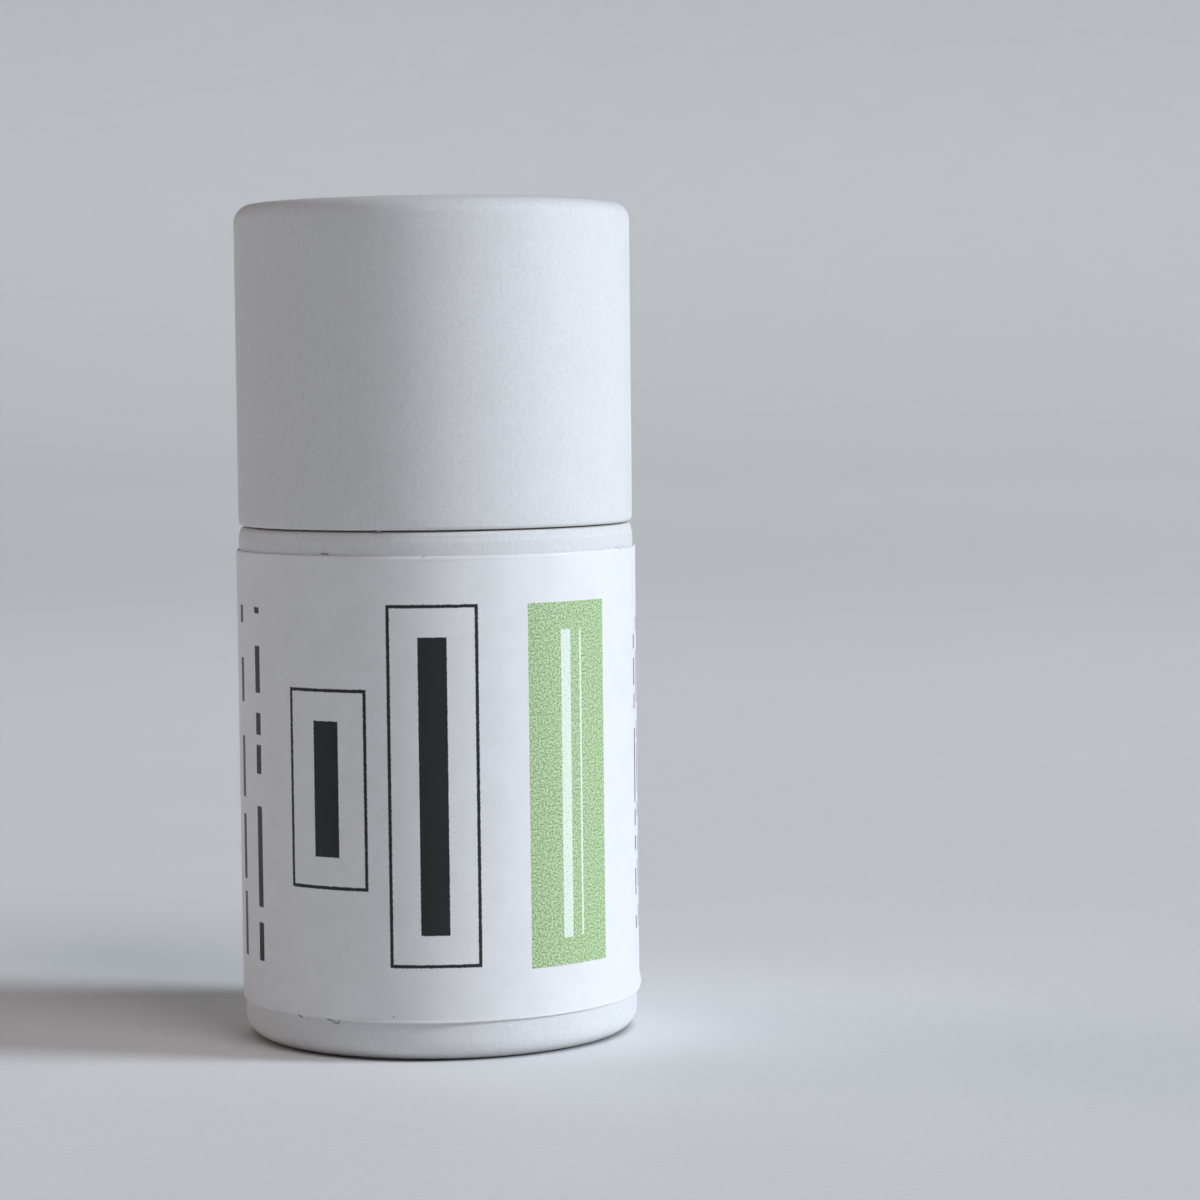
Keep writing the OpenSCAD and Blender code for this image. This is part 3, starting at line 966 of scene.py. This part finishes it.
def makeBalmWax(values):
    material, tree, shader = startMaterial(
        "balmWax", Specular_IOR_Level=0.45, Subsurface_Weight=0.35, Subsurface_Scale=0.0012,
        Subsurface_Radius=(1.0, 0.85, 0.5), Coat_Weight=0.15, Coat_Roughness=0.28)
    place = objectInMm(tree)
    cloud = noiseFac(tree, place, 0.28, 3, 0.55, 0.6)
    bloom = noiseFac(tree, place, 1.9, 4, 0.65)
    grain = addNode(tree, "TexVoronoi", {"Vector": place, "Scale": 3.2, "Smoothness": 0.6},
                    feature="SMOOTH_F1").outputs["Distance"]
    specks = useGroup(tree, speckGroup, {"Vector": place, "Scale": 1.1, "Share": 0.12, "Size": 0.06})
    colour = blendColour(tree, remap(tree, cloud, 0.36, 0.62), values["cream"], values["pale"])
    colour = blendColour(tree, remap(tree, bloom, 0.5, 0.8, 0.0, 0.22), colour, values["oil"])
    colour = blendColour(tree, calc(tree, "MULTIPLY", specks["Mask"], 0.25), colour, (0.5, 0.45, 0.3, 1))
    tree.links.new(colour, shader.inputs["Base Color"])
    tree.links.new(remap(tree, bloom, 0.35, 0.7, 0.34, 0.5), shader.inputs["Roughness"])
    relief = weighted(tree, bloom, 0.6, grain, 0.25)
    addBump(tree, shader, relief, values["bumpDepth"])
    return material


glueLook = {"amber": (0.36, 0.26, 0.15, 1), "pale": (0.62, 0.54, 0.40, 1)}


def makeGlue(values):
    material, tree, shader = startMaterial("driedGlue", Specular_IOR_Level=0.5)
    place = objectInMm(tree)
    cloud = noiseFac(tree, place, 1.3, 3, 0.6)
    colour = blendColour(tree, remap(tree, cloud, 0.4, 0.6), values["pale"], values["amber"])
    tree.links.new(colour, shader.inputs["Base Color"])
    tree.links.new(remap(tree, cloud, 0.3, 0.7, 0.3, 0.55), shader.inputs["Roughness"])
    addBump(tree, shader, noiseFac(tree, place, 6, 2), 0.01)
    return material


# greys for loose lint and specks, and for threads of painted shade in the label's nicked edges
threadLook = {"light": grey(0.30), "dark": grey(0.13), "nickLight": grey(0.68), "nickDark": grey(0.42)}


def makeGreyThread(name, light, dark):
    material, tree, shader = startMaterial(name, Roughness=0.8, Specular_IOR_Level=0.2)
    spread = noiseFac(tree, objectInMm(tree), 4.5, 3, 0.6)
    colour = blendColour(tree, remap(tree, spread, 0.35, 0.65), dark, light)
    tree.links.new(colour, shader.inputs["Base Color"])
    addBump(tree, shader, spread, 0.006)
    return material


neckLook = {"seamShade": grey(0.50, (1.0, 0.95, 0.88))}


def addSeamShade(material, values):
    # a fine grey line and a faint glue stain along the slanting lap
    tree = material.node_tree
    shader = next(node for node in tree.nodes if node.type == "BSDF_PRINCIPLED")
    under = shader.inputs["Base Color"].links[0].from_socket
    off = addNode(tree, "Attribute", attribute_name="seam").outputs["Fac"]
    line = remap(tree, calc(tree, "ABSOLUTE", calc(tree, "ADD", off, 0.03)), 0.07, 0.01)
    stain = calc(tree, "MULTIPLY", remap(tree, off, -1.6, 0.0), calc(tree, "LESS_THAN", off, 0.0))
    mask = calc(tree, "MAXIMUM", calc(tree, "MULTIPLY", line, 0.55), calc(tree, "MULTIPLY", stain, 0.1))
    tree.links.new(blendColour(tree, mask, under, values["seamShade"]), shader.inputs["Base Color"])


capMaterial = makeOuterPaper("capPaperWhite", outerPaperLook, [(mouthZ, 0.35), (topZ, 0.5)])
baseMaterial = makeOuterPaper("basePaperWhite", outerPaperLook, [(shoulderZ, 0.5), (0.0, 0.7)])
neckMaterial = makeOuterPaper("neckPaperWhite", outerPaperLook, [(rimZ, 0.4), (shoulderZ, 0.6)])
addSeamShade(neckMaterial, neckLook)
labelMaterial = makeLabelPaper(labelLook)
boardMaterial = makeBoard(boardLook)
greaseproofMaterial = makeGreaseproof(greaseproofLook)
balmMaterial = makeBalmWax(balmLook)
glueMaterial = makeGlue(glueLook)
lintAndNickShadeMaterial = makeGreyThread("greyLintAndNickShade", threadLook["light"], threadLook["dark"])
nickMaterial = makeGreyThread("nickShadeAndFibreGrey", threadLook["nickLight"], threadLook["nickDark"])

for piece, material in [
    (capPaper, capMaterial), (capTopSheet, capMaterial), (mouthFibre, nickMaterial),
    (basePaper, baseMaterial), (labelSheet, labelMaterial), (labelFibresAndNickShade, lintAndNickShadeMaterial),
    (labelNickShade, nickMaterial),
    (neckPaper, neckMaterial), (neckGlue, glueMaterial), (balmFill, balmMaterial),
]:
    piece.data.materials.append(material)

# Every CAD node gets its finish too, also those that a finer piece stands for
cadFinish = [
    (capMaterial, ["cap_wrap", "cap_disc_paper"]),
    (baseMaterial, ["base_wrap"]),
    (neckMaterial, ["neck_wrap"]),
    (boardMaterial, ["base_tube", "neck_tube", "push_skirt", "push_disc", "cap_tube", "cap_disc"]),
    (greaseproofMaterial, ["neck_liner", "push_facing", "cap_liner", "cap_seal"]),
    (labelMaterial, ["label"]),
    (balmMaterial, ["balm"]),
]
for material, names in cadFinish:
    for name in names:
        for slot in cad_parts[name].material_slots:
            slot.material = material
print("materials made")


# Seamless sweep: a wide flat floor that turns up into a low curved rim, all round
stageValues = {
    "floorRadius": 1200,
    "coveRadius": 1200,
    "coveTurn": 55,
    "shade": 0.985,  # near the tube
    "farShade": 0.99,
    # painted shade up the rim
    "rimShade": 0.76,
    "paintedFootShade": 0.4,  # painted contact shadow right under the tube's rim
    "footTurn": (11.0, 12.1),
    "nearTurn": (250, 1100),  # distances over which one shade turns into the next
    "rimTurn": (1700, 2300),
}


def makeStage(values):
    flat, cove = values["floorRadius"], values["coveRadius"]
    points = [(r, 0) for r in (0, 20, 40, 80, 160, 320, 640, flat)]
    points += arc((flat, cove), cove, -90, values["coveTurn"] - 90, 24)[1:]
    bm, layers = spinSection(points, {}, 128)
    if bm.faces[0].normal.z < 0:
        bmesh.ops.reverse_faces(bm, faces=bm.faces[:])
    for face in bm.faces:
        face.smooth = True
    return makePiece(bm, "sweep")


def makeStageMaterial(values):
    material, tree, shader = startMaterial("sweepCard", Roughness=0.6, Specular_IOR_Level=0.3)
    place = objectInMm(tree)
    paper = useGroup(tree, paperGroup, {"Vector": place, "Cloud Scale": 0.05, "Tooth Scale": 2.2,
                                        "Draw": (1.0, 1.0, 1.0)})
    away = addNode(tree, "VectorMath", {0: place}, operation="LENGTH").outputs["Value"]
    near, far, rim = [grey(values[key]) for key in ("shade", "farShade", "rimShade")]
    # painted light and shade: the card's tone changes with distance from the tube, darkest up the rim,
    # standing in for how the lamps light the sweep
    colour = blendColour(tree, remap(tree, away, *values["nearTurn"]), near, far)
    colour = blendColour(tree, remap(tree, away, *values["rimTurn"]), colour, rim)
    # painted contact shadow: the card darkens right under the tube's rim
    foot = grey(values["paintedFootShade"])
    colour = blendColour(tree, remap(tree, away, *values["footTurn"]), foot, colour)
    clouds = calc(tree, "MULTIPLY", remap(tree, paper["Cloud"], 0.3, 0.7, 0.985, 1.0),
                  remap(tree, paper["Tooth"], 0.36, 0.64, 0.965, 1.0))
    clouds = addNode(tree, "CombineColor", {0: clouds, 1: clouds, 2: clouds}).outputs[0]
    colour = blendColour(tree, 1.0, colour, clouds, "MULTIPLY")
    tree.links.new(colour, shader.inputs["Base Color"])
    addBump(tree, shader, paper["Tooth"], 0.01)
    return material


sweep = makeStage(stageValues)
sweep.data.materials.append(makeStageMaterial(stageValues))
print("sweep made")


# Soft lights. Turn is degrees from the camera's side towards the right, rise is degrees over the table
lightValues = {
    "window": {"turn": 77.5, "rise": 24, "away": 3000, "size": 900, "watts": 75.0,
               "colour": (0.78, 0.885, 1.0)},
    "overhead": {"turn": 37, "rise": 47, "away": 3000, "size": 1600, "watts": 19.4,
                 "colour": (1.0, 0.92, 0.95)},
    "leftCard": {"turn": -112, "rise": 13, "away": 3000, "size": 1700, "watts": 27.5,
                 "colour": (1.0, 0.925, 0.88)},
}
# Two weak lights for the sweep, which hardly reach the tube: its far turn, and the floor behind the tube
sweepLights = {
    "farWash": {"place": (0, 1100, 900), "aim": (0, 1800, 100), "size": 1000, "watts": 1.45,
                "colour": (1.0, 1.0, 1.0)},
    "floorFill": {"place": (0, 220, 300), "aim": (0, 200, 0), "size": 220, "watts": 0.07,
                  "colour": (1.0, 0.98, 0.98)},
}
skyValues = {"colour": (1.0, 1.0, 1.0, 1), "strength": 0.03}


def placeLight(name, values, place, aim):
    light = bpy.data.lights.new(name, "AREA")
    light.shape = "DISK"
    light.size = values["size"] * mm
    light.energy = values["watts"]
    light.color = values["colour"]
    holder = bpy.data.objects.new(name, light)
    bpy.context.scene.collection.objects.link(holder)
    holder.location = place
    holder.rotation_euler = (place - aim).to_track_quat("Z", "Y").to_euler()
    holder.visible_camera = False
    return holder


def makeLight(name, values):
    turn, rise = math.radians(values["turn"]), math.radians(values["rise"])
    towards = Vector((math.sin(turn) * math.cos(rise), -math.cos(turn) * math.cos(rise), math.sin(rise)))
    aim = Vector((0, 0, 25 * mm))
    return placeLight(name, values, aim + towards * values["away"] * mm, aim)


for name, values in lightValues.items():
    makeLight(name, values)
for name, values in sweepLights.items():
    placeLight(name, values, Vector(values["place"]) * mm, Vector(values["aim"]) * mm)

world = bpy.data.worlds.new("studio")
bpy.context.scene.world = world
world.use_nodes = True
backdrop = world.node_tree.nodes["Background"]
backdrop.inputs["Color"].default_value = skyValues["colour"]
backdrop.inputs["Strength"].default_value = skyValues["strength"]

# Camera at the photograph's place, a little above the shoulder and slightly turned
cameraValues = {"place": (0.0, -220.56, 39.89), "down": 3.551, "right": 2.594, "lean": 0.628,
                "lens": 108.225}


def makeCamera(values):
    camera = bpy.data.cameras.new("photoCamera")
    camera.lens = values["lens"]
    camera.sensor_width = 36
    camera.clip_start, camera.clip_end = 0.01, 10
    holder = bpy.data.objects.new("photoCamera", camera)
    bpy.context.scene.collection.objects.link(holder)
    turns = (Matrix.Rotation(-math.radians(values["right"]), 4, "Z")
             @ Matrix.Rotation(math.radians(90 - values["down"]), 4, "X")
             @ Matrix.Rotation(-math.radians(values["lean"]), 4, "Z"))
    holder.matrix_world = Matrix.Translation(Vector(values["place"]) * mm) @ turns
    return holder


bpy.context.scene.camera = makeCamera(cameraValues)
bpy.context.scene.view_settings.view_transform = "Standard"
print("lights and camera made")
